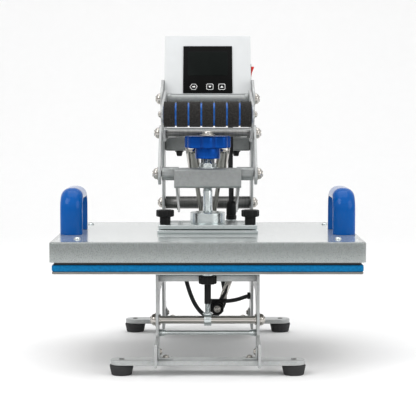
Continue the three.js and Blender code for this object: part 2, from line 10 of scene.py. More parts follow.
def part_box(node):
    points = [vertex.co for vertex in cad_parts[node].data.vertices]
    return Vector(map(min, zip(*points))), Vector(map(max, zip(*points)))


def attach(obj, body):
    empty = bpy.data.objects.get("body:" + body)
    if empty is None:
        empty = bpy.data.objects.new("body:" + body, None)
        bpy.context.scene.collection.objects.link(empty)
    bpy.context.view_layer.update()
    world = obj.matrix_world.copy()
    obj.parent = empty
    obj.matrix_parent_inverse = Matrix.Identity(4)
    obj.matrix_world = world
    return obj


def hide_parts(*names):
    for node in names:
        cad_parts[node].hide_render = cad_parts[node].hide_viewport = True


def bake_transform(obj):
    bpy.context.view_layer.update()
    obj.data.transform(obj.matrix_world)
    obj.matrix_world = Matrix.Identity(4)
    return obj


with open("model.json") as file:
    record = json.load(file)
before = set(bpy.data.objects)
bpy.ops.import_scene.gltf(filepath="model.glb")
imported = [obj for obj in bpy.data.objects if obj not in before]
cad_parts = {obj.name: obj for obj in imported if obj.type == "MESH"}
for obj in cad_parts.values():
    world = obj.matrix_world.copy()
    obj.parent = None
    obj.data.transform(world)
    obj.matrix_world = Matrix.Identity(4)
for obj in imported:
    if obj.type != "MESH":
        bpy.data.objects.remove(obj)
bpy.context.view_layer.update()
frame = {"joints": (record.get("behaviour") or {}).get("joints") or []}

MM = 0.001
scene = bpy.context.scene
joints = {joint["name"]: joint for joint in frame["joints"]}
sides = (("left", -1), ("right", 1))


def pivot(name):
    """(y, z) of a joint in the side view, in millimetres."""
    _, y, z = joints[name]["pos_m"]
    return y / MM, z / MM


def corners(node):
    """Lowest and highest corner of a CAD node, in millimetres."""
    low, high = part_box(node)
    return [value / MM for value in low], [value / MM for value in high]


def middle(node):
    """Centre of a CAD node, in millimetres."""
    return [(low + high) / 2 for low, high in zip(*corners(node))]


HEAD_PIVOT = pivot("head_hinge")
LEVER_PIVOT = pivot("lever_hinge")
BEAM_SHAFT = pivot("toggle_link_hinge")
GRIP = pivot("grip_spin")
SPRING_TOP = pivot("spring_tube_hinge")
KNEE = middle("knee_rod")[1:]

# ---- camera
CAMERA_DISTANCE = 2.38       # in front of the platen's front edge
CAMERA_HEIGHT = 0.437
CAMERA_SIDE = 0.0005
CAMERA_PITCH = 4.0           # degrees below the horizon
camera_data = bpy.data.cameras.new("camera")
camera_data.sensor_width = 36
camera_data.lens = 129.6
camera = bpy.data.objects.new("camera", camera_data)
platen_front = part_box("silicone_pad")[0][1]
camera.location = (CAMERA_SIDE, platen_front - CAMERA_DISTANCE, CAMERA_HEIGHT)
camera.rotation_euler = (math.radians(90 - CAMERA_PITCH), 0, 0)
scene.collection.objects.link(camera)
scene.camera = camera


# ---- materials
SOCKET_NAMES = {"coat": "Coat Weight", "coat_roughness": "Coat Roughness", "specular": "Specular IOR Level",
                "sheen": "Sheen Weight"}


def surface(name, colour, roughness, metallic=0.0, mottle=0.08, mottle_scale=30.0, grain_scale=900.0,
            grain=0.1, spread=0.06, stretch=(1, 1, 1), edge_wear_and_highlight=None, flake=0.0, slot=None, **sockets):
    """A procedural finish: clouded colour, varied roughness, fine bump, and a lighter colour on its edges,
    partly wear and partly painted highlight.
    """
    material = bpy.data.materials.new(name)
    material["slot"] = slot or name
    material.use_nodes = True
    nodes, links = material.node_tree.nodes, material.node_tree.links
    shader = nodes["Principled BSDF"]
    shader.inputs["Metallic"].default_value = metallic
    for socket, value in sockets.items():
        shader.inputs[SOCKET_NAMES[socket]].default_value = value
    coordinates = nodes.new("ShaderNodeTexCoord")
    mapping = nodes.new("ShaderNodeMapping")
    mapping.inputs["Scale"].default_value = stretch
    links.new(coordinates.outputs["Object"], mapping.inputs["Vector"])

    def noise(scale, detail):
        node = nodes.new("ShaderNodeTexNoise")
        node.inputs["Scale"].default_value = scale
        node.inputs["Detail"].default_value = detail
        links.new(mapping.outputs["Vector"], node.inputs["Vector"])
        return node.outputs["Fac"]

    def ramp(source, stops):
        node = nodes.new("ShaderNodeValToRGB")
        for element, (position, value) in zip(node.color_ramp.elements, stops):
            element.position = position
            element.color = (*value, 1)
        links.new(source, node.inputs["Fac"])
        return node.outputs["Color"]

    def shade(factor):
        return [min(1, channel * factor) for channel in colour]

    tint = ramp(noise(mottle_scale, 5), ((0.3, shade(1 - mottle)), (0.7, shade(1 + mottle))))
    if flake:
        speckle = nodes.new("ShaderNodeTexVoronoi")
        speckle.inputs["Scale"].default_value = grain_scale * 1.6
        links.new(mapping.outputs["Vector"], speckle.inputs["Vector"])
        sparkle = nodes.new("ShaderNodeMix")
        sparkle.data_type = "RGBA"
        sparkle.blend_type = "OVERLAY"
        sparkle.inputs["Factor"].default_value = flake
        links.new(tint, sparkle.inputs[6])
        links.new(speckle.outputs["Color"], sparkle.inputs[7])
        to_grey = nodes.new("ShaderNodeHueSaturation")
        to_grey.inputs["Saturation"].default_value = 0.35
        links.new(sparkle.outputs[2], to_grey.inputs["Color"])
        tint = to_grey.outputs["Color"]
    # Convex edges, found by pointiness, are mixed towards a lighter colour: partly worn paint and partly a
    # painted edge highlight.
    if edge_wear_and_highlight:
        geometry = nodes.new("ShaderNodeNewGeometry")
        worn_and_lit_edges = ramp(geometry.outputs["Pointiness"], ((0.56, (0, 0, 0)), (0.68, (1, 1, 1))))
        blend = nodes.new("ShaderNodeMix")
        blend.data_type = "RGBA"
        links.new(worn_and_lit_edges, blend.inputs["Factor"])
        links.new(tint, blend.inputs[6])
        blend.inputs[7].default_value = (*edge_wear_and_highlight, 1)
        tint = blend.outputs[2]
    links.new(tint, shader.inputs["Base Color"])

    texture = noise(grain_scale, 3)
    rough = nodes.new("ShaderNodeMapRange")
    rough.inputs["To Min"].default_value = max(0.02, roughness - spread)
    rough.inputs["To Max"].default_value = min(1, roughness + spread)
    links.new(noise(mottle_scale * 4, 6), rough.inputs["Value"])
    links.new(rough.outputs["Result"], shader.inputs["Roughness"])
    bump = nodes.new("ShaderNodeBump")
    bump.inputs["Strength"].default_value = grain
    bump.inputs["Distance"].default_value = 0.0004
    links.new(texture, bump.inputs["Height"])
    links.new(bump.outputs["Normal"], shader.inputs["Normal"])
    return material


grey_paint = surface("grey_paint", (0.38, 0.415, 0.41), 0.32, 0.40, mottle=0.07, mottle_scale=140, grain=0.14,
                     flake=0.16, edge_wear_and_highlight=(0.62, 0.65, 0.64))
# A darker copy of grey_paint with the same slot: its darker colour is painted shade on the beams, link shafts
# and lever bush tube.
shaded_grey_paint = surface("shaded_grey_paint", (0.26, 0.295, 0.29), 0.34, 0.50, mottle=0.07, mottle_scale=140, grain=0.14,
                     flake=0.16, edge_wear_and_highlight=(0.52, 0.55, 0.54), slot="grey_paint")
cover_paint = surface("cover_paint", (0.175, 0.228, 0.214), 0.28, 0.30, mottle=0.06, mottle_scale=160,
                      grain=0.16,
                      flake=0.14, grain_scale=700, coat=0.75, coat_roughness=0.07, edge_wear_and_highlight=(0.55, 0.59, 0.58))
case_paint = surface("case_paint", (0.56, 0.575, 0.58), 0.40, 0.0, mottle=0.03, grain=0.12, grain_scale=1300)
black_rubber = surface("black_rubber", (0.020, 0.020, 0.021), 0.72, mottle=0.3, grain=0.35, grain_scale=1500)
cable_sheath = surface("cable_sheath", (0.018, 0.018, 0.019), 0.62, mottle=0.35, grain=0.8, grain_scale=700,
                       stretch=(1, 1, 2.2))
chrome = surface("chrome", (0.47, 0.45, 0.42), 0.09, 1.0, mottle=0.05, grain=0.04, grain_scale=300,
                 spread=0.04)
zinc_plate = surface("zinc_plate", (0.63, 0.675, 0.675), 0.25, 1.0, mottle=0.05, mottle_scale=45, grain=0.05,
                     grain_scale=420, stretch=(1, 1, 0.15), spread=0.05)
dark_steel = surface("dark_steel", (0.20, 0.20, 0.195), 0.34, 1.0, mottle=0.18, grain=0.15, grain_scale=350,
                     stretch=(14, 1, 1), spread=0.10)
platen_aluminium = surface("platen_aluminium", (0.22, 0.215, 0.205), 0.44, 0.8, mottle=0.12, grain=0.15,
                           stretch=(1, 12, 12), spread=0.10)
silicone = surface("silicone", (0.003, 0.135, 0.32), 0.85, mottle=0.22, mottle_scale=260, grain=0.7,
                   grain_scale=650, specular=0.12)
black_plastic = surface("black_plastic", (0.006, 0.006, 0.006), 0.40, mottle=0.25, grain=0.22,
                        grain_scale=1200, specular=0.18)
handle_blue = surface("handle_blue", (0.0, 0.078, 0.32), 0.10, mottle=0.06, grain=0.04, grain_scale=220,
                      spread=0.04, specular=0.15, coat=0.04, coat_roughness=0.03)
knob_blue = surface("knob_blue", (0.0, 0.060, 0.32), 0.24, 0.60, mottle=0.10, grain=0.10, grain_scale=420,
                    stretch=(1, 1, 10), edge_wear_and_highlight=(0.10, 0.32, 0.75), specular=0.2)
coated_plate = surface("coated_plate", (0.030, 0.030, 0.031), 0.45, 0.2, mottle=0.2, grain=0.15,
                       grain_scale=500, slot="platen_aluminium")
core_blue = surface("core_blue", (0.0, 0.085, 0.36), 0.25, 0.2, mottle=0.08, grain=0.05, grain_scale=300,
                    slot="handle_blue")
grip_foam = surface("grip_foam", (0.022, 0.021, 0.020), 0.92, mottle=0.45, mottle_scale=420, grain=1.0,
                    grain_scale=900, specular=0.1, sheen=0.05)
display_glass = surface("display_glass", (0.003, 0.003, 0.003), 0.14, mottle=0.2, grain=0.01, spread=0.03,
                        specular=0.05)
display_window = surface("display_window", (0.004, 0.0055, 0.005), 0.30, mottle=0.15, grain=0.03,
                         specular=0.04, slot="display_glass")
key_print = surface("key_print", (0.92, 0.93, 0.93), 0.5, mottle=0.03, grain=0.05, slot="display_glass")
circuit_board = surface("circuit_board", (0.03, 0.16, 0.07), 0.45, mottle=0.25, mottle_scale=300)
switch_red = surface("switch_red", (0.72, 0.012, 0.006), 0.22, mottle=0.05, grain=0.05, coat=0.4,
                     coat_roughness=0.08)


# ---- outlines (millimetres)
def fillet(points, radius, closed=True, steps=4):
    """Rounds an outline's corners. radius is one value, or one for each point."""
    radii = radius if isinstance(radius, (list, tuple)) else [radius] * len(points)
    rounded = []
    for i, point in enumerate(points):
        here = Vector(point)
        to_before = Vector(points[i - 1]) - here
        to_after = Vector(points[(i + 1) % len(points)]) - here
        at_end = not closed and i in (0, len(points) - 1)
        half = 0 if at_end else to_before.angle(to_after) / 2
        if at_end or radii[i] <= 0 or abs(half - math.pi / 2) < 0.01:
            rounded.append((here.x, here.y))
            continue
        reach = min(radii[i] / math.tan(half), 0.48 * to_before.length, 0.48 * to_after.length)
        bisector = (to_before.normalized() + to_after.normalized()).normalized()
        centre = here + bisector * (reach / math.cos(half))
        start = here + to_before.normalized() * reach - centre
        end = here + to_after.normalized() * reach - centre
        first = math.atan2(start.y, start.x)
        sweep = (math.atan2(end.y, end.x) - first + math.pi) % (2 * math.pi) - math.pi
        for k in range(steps + 1):
            angle = first + sweep * k / steps
            rounded.append((centre.x + start.length * math.cos(angle),
                            centre.y + start.length * math.sin(angle)))
    return rounded


def circle(centre, radius, count=32):
    angles = [2 * math.pi * k / count for k in range(count)]
    return [(centre[0] + radius * math.cos(a), centre[1] + radius * math.sin(a)) for a in angles]


def rectangle(width, height, radius, centre=(0, 0), steps=6):
    x, y = width / 2, height / 2
    points = [(-x, -y), (x, -y), (x, y), (-x, y)]
    return fillet([(centre[0] + px, centre[1] + py) for px, py in points], radius, steps=steps)


def belt(discs, steps=14):
    """Outline of a belt pulled tight round discs (y, z, radius) taken anticlockwise."""
    def edge_angle(start, end):
        dy, dz = end[0] - start[0], end[1] - start[1]
        return math.atan2(dz, dy) - math.acos((start[2] - end[2]) / math.hypot(dy, dz))
    outline = []
    for i, disc in enumerate(discs):
        before = edge_angle(discs[i - 1], disc)
        sweep = (edge_angle(disc, discs[(i + 1) % len(discs)]) - before) % (2 * math.pi)
        for k in range(steps + 1):
            angle = before + sweep * k / steps
            outline.append((disc[0] + disc[2] * math.cos(angle), disc[1] + disc[2] * math.sin(angle)))
    return outline


def lobed(radius, lobes, depth, count=168):
    outline = []
    for k in range(count):
        angle = 2 * math.pi * k / count
        reach = radius - depth * (0.5 - 0.5 * math.cos(lobes * angle)) ** 1.5
        outline.append((reach * math.cos(angle), reach * math.sin(angle)))
    return outline


# ---- solids
# side view outlines go to (x, y, z) = (w, u, v); a turned piece's axis goes the same way
SIDE = Matrix(((0, 0, 1, 0), (1, 0, 0, 0), (0, 1, 0, 0), (0, 0, 0, 1)))
FLAT = Matrix.Identity(4)


def at(x=0, y=0, z=0):
    return Matrix.Translation((x, y, z))


def along_x(centre, direction=1):
    """Lays a piece made about +Z along X through (y, z)."""
    return at(0, *centre) @ Matrix.Rotation(direction * math.pi / 2, 4, "Y")


def lathe(profile, segments=48):
    """Turns (radius, height[, flats]) round +Z. The profile closes on itself unless it ends on the axis."""
    bm = bmesh.new()
    rings = []
    for radius, height, *flats in profile:
        if radius < 1e-6:
            rings.append([bm.verts.new((0, 0, height))])
            continue
        ring = []
        for k in range(segments):
            angle = 2 * math.pi * k / segments
            reach = radius
            if flats:
                step = 2 * math.pi / flats[0]
                reach *= math.cos(step / 2) / math.cos(angle % step - step / 2)
            ring.append(bm.verts.new((reach * math.cos(angle), reach * math.sin(angle), height)))
        rings.append(ring)
    pairs = list(zip(rings, rings[1:]))
    if len(rings[0]) > 1:
        pairs.append((rings[-1], rings[0]))
    for lower, upper in pairs:
        for k in range(segments):
            quad = []
            for ring, index in ((lower, k), (lower, k + 1), (upper, k + 1), (upper, k)):
                vertex = ring[index % len(ring)]
                if vertex not in quad:
                    quad.append(vertex)
            if len(quad) > 2:
                bm.faces.new(quad)
    return bm


def turned(profile, rounding=0.4, segments=48, steps=3):
    """A turned piece from (radius, height) corners, each rounded a little."""
    on_axis = profile[0][0] < 1e-6
    return lathe(fillet(profile, rounding, closed=not on_axis, steps=steps), segments)


def tube(inner, outer, low, high, rounding=0.4, segments=48, steps=3):
    """A turned ring with square ends, or a disc where inner is 0."""
    return turned([(inner, low), (outer, low), (outer, high), (inner, high)], rounding, segments, steps)


def both_ends(half):
    """A whole turned profile from its upper half, given from the end inwards."""
    return [(radius, -height) for radius, height in half] + half[::-1]


def threaded(radius, low, high, pitch, depth=0.9, segments=36):
    """A rod with a true helical thread, made about +Z."""
    bm = bmesh.new()
    per_turn = 6
    count = int((high - low) / pitch * per_turn)
    rings = []
    for i in range(count + 1):
        height = low + (high - low) * i / count
        taper = min(1, i / per_turn, (count - i) / per_turn)
        ring = []
        for k in range(segments):
            phase = (height / pitch - k / segments) % 1
            reach = radius - depth * abs(2 * phase - 1) * taper - 0.3 * (1 - taper)
            angle = 2 * math.pi * k / segments
            ring.append(bm.verts.new((reach * math.cos(angle), reach * math.sin(angle), height)))
        rings.append(ring)
    for lower, upper in zip(rings, rings[1:]):
        for k in range(segments):
            following = (k + 1) % segments
            bm.faces.new((lower[k], lower[following], upper[following], upper[k]))
    bm.faces.new(list(reversed(rings[0])))
    bm.faces.new(rings[-1])
    return bm


def extruded(loops, low, high, bevel=0.5, steps=2):
    """Fills the first outline, less the others as holes, between two heights, with rounded edges."""
    curve = bpy.data.curves.new("outline", "CURVE")
    curve.dimensions = "2D"
    curve.fill_mode = "BOTH"
    curve.extrude = (high - low) / 2 - bevel
    curve.bevel_depth = bevel
    curve.bevel_resolution = steps
    curve.offset = -bevel
    for loop in loops:
        spline = curve.splines.new("POLY")
        spline.points.add(len(loop) - 1)
        for point, (u, v) in zip(spline.points, loop):
            point.co = (u, v, 0, 1)
        spline.use_cyclic_u = True
    holder = bpy.data.objects.new("outline", curve)
    mesh = bpy.data.meshes.new_from_object(holder)
    bm = bmesh.new()
    bm.from_mesh(mesh)
    bmesh.ops.translate(bm, verts=bm.verts, vec=(0, 0, (low + high) / 2))
    bmesh.ops.remove_doubles(bm, verts=bm.verts, dist=0.002)
    bmesh.ops.recalc_face_normals(bm, faces=bm.faces)
    bpy.data.objects.remove(holder)
    bpy.data.curves.remove(curve)
    bpy.data.meshes.remove(mesh)
    return bm


def block(low, high, bevel=0.6, steps=2):
    bm = bmesh.new()
    bmesh.ops.create_cube(bm, size=1)
    bmesh.ops.scale(bm, verts=bm.verts, vec=[h - l for l, h in zip(low, high)])
    bmesh.ops.translate(bm, verts=bm.verts, vec=[(l + h) / 2 for l, h in zip(low, high)])
    bmesh.ops.bevel(bm, geom=bm.edges[:] + bm.verts[:], offset=bevel, segments=steps, affect="EDGES",
                    profile=0.5)
    return bm


def loft(rings, closed=False):
    """Joins outlines of equal length, each a list of (x, y, z), and caps the ends unless closed."""
    bm = bmesh.new()
    made = [[bm.verts.new(point) for point in ring] for ring in rings]
    pairs = list(zip(made, made[1:]))
    if closed:
        pairs.append((made[-1], made[0]))
    for lower, upper in pairs:
        for k in range(len(lower)):
            following = (k + 1) % len(lower)
            bm.faces.new((lower[k], lower[following], upper[following], upper[k]))
    if not closed:
        bm.faces.new(list(reversed(made[0])))
        bm.faces.new(made[-1])
    bmesh.ops.recalc_face_normals(bm, faces=bm.faces)
    return bm


def smooth_route(points, per_span=10):
    """Points along a smooth curve through the given ones."""
    ends = [2 * Vector(points[0]) - Vector(points[1])] + [Vector(p) for p in points]
    ends.append(2 * Vector(points[-1]) - Vector(points[-2]))
    route = []
    for i in range(1, len(ends) - 2):
        a, b, c, d = ends[i - 1:i + 3]
        for k in range(per_span):
            t = k / per_span
            route.append(0.5 * (2 * b + (c - a) * t + (2 * a - 5 * b + 4 * c - d) * t * t
                                + (3 * b - a - 3 * c + d) * t ** 3))
    route.append(ends[-2])
    return route


def drilled(bm, radius, low, high, place=FLAT):
    """Bores a round hole along +Z, between two heights, through a closed mesh."""
    tool = bmesh.new()
    bmesh.ops.create_cone(tool, cap_ends=True, segments=48, radius1=radius, radius2=radius, depth=high - low)
    bmesh.ops.transform(tool, matrix=place @ at(0, 0, (low + high) / 2), verts=tool.verts)
    holders = []
    for shape in (bm, tool):
        mesh = bpy.data.meshes.new("drilling")
        shape.to_mesh(mesh)
        shape.free()
        holders.append(bpy.data.objects.new("drilling", mesh))
        scene.collection.objects.link(holders[-1])
    cutting = holders[0].modifiers.new("bore", "BOOLEAN")
    cutting.operation = "DIFFERENCE"
    cutting.solver = "EXACT"
    cutting.object = holders[1]
    result = bmesh.new()
    result.from_object(holders[0], bpy.context.evaluated_depsgraph_get())
    for holder in holders:
        mesh = holder.data
        bpy.data.objects.remove(holder)
        bpy.data.meshes.remove(mesh)
    return result


def swept(route, section):
    """Carries a section (u, v) along a route of vectors without twisting."""
    rings = []
    normal = None
    for i, point in enumerate(route):
        tangent = (route[min(i + 1, len(route) - 1)] - route[max(i - 1, 0)]).normalized()
        if normal is None:
            normal = tangent.orthogonal().normalized()
        normal = (normal - tangent * normal.dot(tangent)).normalized()
        binormal = tangent.cross(normal)
        rings.append([point + normal * u + binormal * v for u, v in section])
    return loft(rings)


def joined(*parts):
    """One mesh from several closed bodies, each a bmesh or a (bmesh, matrix) pair."""
    whole = bmesh.new()
    for part in parts:
        bm, matrix = part if isinstance(part, tuple) else (part, FLAT)
        bmesh.ops.transform(bm, matrix=matrix, verts=bm.verts)
        if matrix.determinant() < 0:
            bmesh.ops.reverse_faces(bm, faces=bm.faces)
        mesh = bpy.data.meshes.new("part")
        bm.to_mesh(mesh)
        bm.free()
        whole.from_mesh(mesh)
        bpy.data.meshes.remove(mesh)
    return whole


def finished(name, bm, material, matrix=FLAT, sharp=32):
    """Makes a smooth object in metres from a mesh in millimetres."""
    bmesh.ops.transform(bm, matrix=Matrix.Scale(MM, 4) @ matrix, verts=bm.verts)
    if matrix.determinant() < 0:
        bmesh.ops.reverse_faces(bm, faces=bm.faces)
    mesh = bpy.data.meshes.new(name)
    bm.to_mesh(mesh)
    bm.free()
    mesh.shade_smooth()
    mesh.set_sharp_from_angle(angle=math.radians(sharp))
    mesh.materials.append(material)
    obj = bpy.data.objects.new(name, mesh)
    scene.collection.objects.link(obj)
    return obj


def piece(name, bm, material, body, matrix=FLAT, stands_for=(), sharp=32):
    """A finished object that rides on a body."""
    obj = finished(name, bm, material, matrix, sharp)
    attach(obj, body)
    if stands_for:
        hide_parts(*stands_for)
    return obj


# ---- fasteners
def dome_head(radius=9.75, height=9.2, socket=4.6):
    """A domed bolt head on its washer, with a hexagon socket, standing on z = 0."""
    washer = tube(0, radius + 1.6, 0, 1.1, 0.3)
    rise = [(radius * math.cos(a), 2.6 + (height - 2.6) * math.sin(a))
            for a in (math.radians(8 * k) for k in range(8))]
    profile = [(0, 1), (radius - 0.4, 1), (radius, 1.5), *rise, (socket + 0.4, height),
               (socket, height - 0.4, 6), (socket, height - 3.4, 6), (0, height - 4.2)]
    return joined(washer, (lathe(profile, 48), FLAT))


def pan_head(radius=5.4, height=3.6):
    """A pan head screw, standing on z = 0, with a dark cross laid on its top as painted shade for its cross
    recess.
    """
    rise = [(radius * math.cos(a), 0.5 + (height - 0.5) * math.sin(a))
            for a in (math.radians(12 * k) for k in range(1, 7))]
    head = lathe([(0, 0), (radius, 0), (radius, 0.5), *rise, (0, height)], 32)
    reach, width = radius * 0.5, 0.45
    # Bars standing just proud of the head, given a dark finish: painted shade for the recess.
    recess_shade_bars = [(block((-x, -y, height - 1.3), (x, y, height + 0.05), 0.1), FLAT)
            for x, y in ((reach, width), (width, reach))]
    return head, joined(*recess_shade_bars)


def hex_nut(across, low, high, bore=0.0):
    """A hexagon nut with chamfered corners."""
    circum = across / math.sqrt(3)
    chamfer = 0.054 * across
    inner = circum * 0.88
    profile = [(bore, low), (inner, low), (circum, low + chamfer, 6), (circum, high - chamfer, 6),
               (inner, high), (bore, high)]
    return lathe(profile, 48)


# ---- base frame
RAIL_TOP = corners("platen_support_plate")[0][2] - 0.3
RAIL_FRONT = corners("platen_support_plate")[0][1]
FRAME_LOW, FRAME_HIGH = corners("side_plate_right")
SIDE_INNER = FRAME_LOW[0]
SIDE_FACE = FRAME_HIGH[0]
CROSS_ROD = middle("base_cross_rod")[1:]
TIE_ROD = middle("base_tie_rod")[1:]


def side_outline():
    """Toe, arched legs, upright and the arm that leans forward to the lever's pivot."""
    front, rear, bottom = FRAME_LOW[1], FRAME_HIGH[1], FRAME_LOW[2]
    outline = []
    for node in ("front_foot_bar", "rear_foot_bar"):
        low, high = corners(node)
        notch = [(low[1] - 0.3, 0), (low[1] - 0.3, 1), (high[1] + 0.3, 1), (high[1] + 0.3, 0)]
        outline.append([((y, high[2] + 0.3 if raised else bottom), 0) for y, raised in notch])
    arch = [((-150, bottom), 1), ((-123, 118), 42), ((123, 118), 42), ((150, bottom), 1)]
    lobe = [((LEVER_PIVOT[0] + 22 * math.cos(a), LEVER_PIVOT[1] + 22 * math.sin(a)), 0)
            for a in (math.radians(70 + 145 * k / 18) for k in range(19))]
    upright = [((rear, bottom), 6), ((rear, 55), 6), ((250, 55), 24), ((250, 345), 14), ((224, 480), 10),
               ((128, 480), 8)]
    rail = [((158, 296), 12), ((158, RAIL_TOP), 10), ((RAIL_FRONT, RAIL_TOP), 1.5), ((RAIL_FRONT, 55), 10),
            ((front, 55), 6)]
    marked = [((front, bottom), 6), *outline[0], *arch, *outline[1], *upright, *lobe, *rail]
    return fillet([point for point, _ in marked], [radius for _, radius in marked], steps=8)


for label, side in sides:
    faces = (SIDE_INNER, SIDE_FACE) if side > 0 else (-SIDE_FACE, -SIDE_INNER)
    bores = [circle(HEAD_PIVOT, 7.3), circle(LEVER_PIVOT, 5.3), circle(CROSS_ROD, 4.3),
             circle(TIE_ROD, 3.3)]
    plate = extruded([side_outline(), *bores], *faces, bevel=0.9)
    piece(f"side_frame_{label}", plate, grey_paint, "base", SIDE, [f"side_plate_{label}"])

TAB_THICK = 3
for label in ("front", "rear"):
    low, high = corners(f"{label}_foot_bar")
    bar_y = (low[1] + high[1]) / 2
    top = high[2]
    bar_outline = rectangle(high[0] - low[0], high[1] - low[1], 19.4, (0, bar_y), 12)
    bar = extruded([bar_outline], low[2], top, 1.4, 3)
    piece(f"{label}_foot_rail", bar, grey_paint, "base", stands_for=[f"{label}_foot_bar"])
    for name, side in sides:
        rubber = f"rubber_foot_{label}_{name}"
        x = middle(rubber)[0]
        tall = corners(rubber)[1][2]
        profile = [(0, 3.5), (6, 3.5), (6, 0), (15.4, 0), (16.6, 1.4), (17.2, 5), (19.3, tall - 2.5),
                   (18.4, tall), (0, tall)]
        foot = turned(profile, 0.9, 56)
        piece(f"foot_{label}_{name}", foot, black_rubber, "base", at(x, bar_y), [rubber])
        screw = turned([(0, -0.2), (4.6, -0.2), (4.6, 0.9), (2.6, 0.9), (2.2, 0.2), (0, 0.2)], 0.25)
        piece(f"foot_screw_{label}_{name}", screw, dark_steel, "base", at(x, bar_y, top + 0.1))
        tab_x = side * (SIDE_INNER - 13)
        tab = block((tab_x - 11, bar_y - 9, top + 0.05), (tab_x + 11, bar_y + 9, top + TAB_THICK), 0.8, 3)
        wall_x = sorted((side * (SIDE_INNER - 3.2), side * (SIDE_INNER - 0.2)))
        lug = block((wall_x[0], bar_y - 9, top + 0.05), (wall_x[1], bar_y + 9, top + 20), 0.8, 3)
        bracket = joined(tab, lug)
        piece(f"foot_tab_{label}_{name}", bracket, grey_paint, "base")
        on_wall = at(side * (SIDE_INNER - 3.2)) @ along_x((bar_y, top + 12), -side)
        tab_bolts = joined((dome_head(4.6, 3.8, 2), at(tab_x, bar_y, top + TAB_THICK)),
                           (dome_head(4.6, 3.8, 2), on_wall))
        piece(f"foot_tab_bolt_{label}_{name}", tab_bolts, chrome, "base")


def headed(name, rod, centre, stands_for):
    """A rod across the press with a domed head against each outer face."""
    heads = [(dome_head(), at(side * (SIDE_FACE + 0.1)) @ along_x(centre, side)) for _, side in sides]
    piece(name, joined((rod, along_x(centre)), *heads), chrome, "base", stands_for=[stands_for])


headed("main_pivot_bolt", tube(0, 7, -SIDE_FACE, SIDE_FACE, 0.3), HEAD_PIVOT, "main_pivot_rod")
headed("lever_pivot_bolt", tube(0, 5, -SIDE_FACE, SIDE_FACE, 0.3), LEVER_PIVOT, "lever_pivot_axle")

shoulder = SIDE_INNER - 0.3
cross = turned(both_ends([(0, SIDE_FACE), (4, SIDE_FACE), (4, shoulder), (9, shoulder), (9, shoulder - 3),
                          (6.5, shoulder - 3)]), 0.5)
headed("cross_rod", cross, CROSS_ROD, "base_cross_rod")

tie = turned(both_ends([(0, SIDE_FACE), (3, SIDE_FACE), (3, shoulder), (5.8, shoulder), (5.8, shoulder - 5),
                        (3.5, shoulder - 12)]), 0.4)
piece("tie_rod", tie, zinc_plate, "base", along_x(TIE_ROD), ["base_tie_rod"])

low, high = corners("front_cross_bar")
piece("front_rail_bar", block(low, high, 1.2, 3), grey_paint, "base", stands_for=["front_cross_bar"])
low, high = corners("rear_cross_beam")
piece("rear_beam", block(low, high, 3, 4), shaded_grey_paint, "base", stands_for=["rear_cross_beam"])
for label, side in sides:
    stop = turned([(0, -10.5), (4, -10.5), (5.2, -8.5), (6.4, -2.4), (8.2, -2.2), (8.2, -0.3), (0, -0.3)],
                  0.6)
    x, y = side * 54, (low[1] + high[1]) / 2
    piece(f"stop_bumper_{label}", stop, black_rubber, "base", at(x, y, low[2]))
    piece(f"stop_bolt_{label}", dome_head(6.5, 5.5, 3), chrome, "base", at(x, y, high[2]))

low, high = corners("spring_anchor")
SPRING_FOOT = (high[1] - 16, high[2] - 12)
bar = block((low[0], SPRING_FOOT[0] - 16, low[2]), (high[0], SPRING_FOOT[0] + 16, low[2] + 7), 1.2, 3)
ear_outline = belt([(SPRING_FOOT[0], SPRING_FOOT[1] - 18, 12), (*SPRING_FOOT, 12)])
ears = [(extruded([ear_outline], *sorted((side * 12, side * 16)), bevel=0.7), SIDE) for _, side in sides]
anchor_bolt = turned(both_ends([(0, 21), (6, 21), (6, 16.3), (3.2, 16.3)]), 0.8)
piece("spring_anchor_bar", joined(bar, *ears), grey_paint, "base", stands_for=["spring_anchor"])
piece("spring_anchor_bolt", anchor_bolt, chrome, "base", along_x(SPRING_FOOT))

# ---- lower platen and its pad
low, high = corners("platen_support_plate")
piece("support_plate", block(low, high, 0.9, 3), zinc_plate, "base", stands_for=["platen_support_plate"])


def sheet_of(node, radius, bevel):
    """A flat sheet of a CAD node's size, with rounded corners."""
    low, high = corners(node)
    outline = rectangle(high[0] - low[0], high[1] - low[1], radius, middle(node)[:2], 8)
    return extruded([outline], low[2], high[2], bevel, 3)


piece("bed_plate", sheet_of("lower_platen", 5, 0.9), platen_aluminium, "base", stands_for=["lower_platen"])
pad = piece("silicone_mat", sheet_of("silicone_pad", 7, 2.4), silicone, "base", stands_for=["silicone_pad"])

# ---- centre support post
POST_BORE = 5.8          # clears the screw that is run down into it
low, high = corners("support_post_eye")
post_y, rod_z = CROSS_ROD
on_post = at(0, post_y)
eye = joined((tube(6.9, 10, -6, 6, 0.8), along_x(CROSS_ROD)))
eye = drilled(eye, POST_BORE, rod_z + 3, rod_z + 20, on_post)
stem = hex_nut(14.5, rod_z + 9.2, high[2] - 1, POST_BORE)
collar = tube(POST_BORE, 7.8, rod_z + 8.8, high[2])
post_eye = joined(eye, (stem, on_post), (collar, on_post))
piece("post_eye", post_eye, zinc_plate, "base", stands_for=["support_post_eye"])
low, high = corners("support_post_screw")
screw = threaded(4.65, low[2], 110, 1.5, 0.6)
grip_low = high[2] - 14
sleeve = tube(0, 5.5, 108.5, grip_low + 1, 0.6)
head = extruded([lobed(14.75, 8, 2)], grip_low, high[2], 2.2, 4)
post = joined(sleeve, head)
piece("post_stud", screw, zinc_plate, "support_screw", on_post)
piece("post_screw", post, black_plastic, "support_screw", on_post, ["support_post_screw"])
low, high = corners("support_post_pad")
disc = tube(0, 11, low[2], high[2])
piece("post_pad", disc, zinc_plate, "support_pad", on_post, ["support_post_pad"])

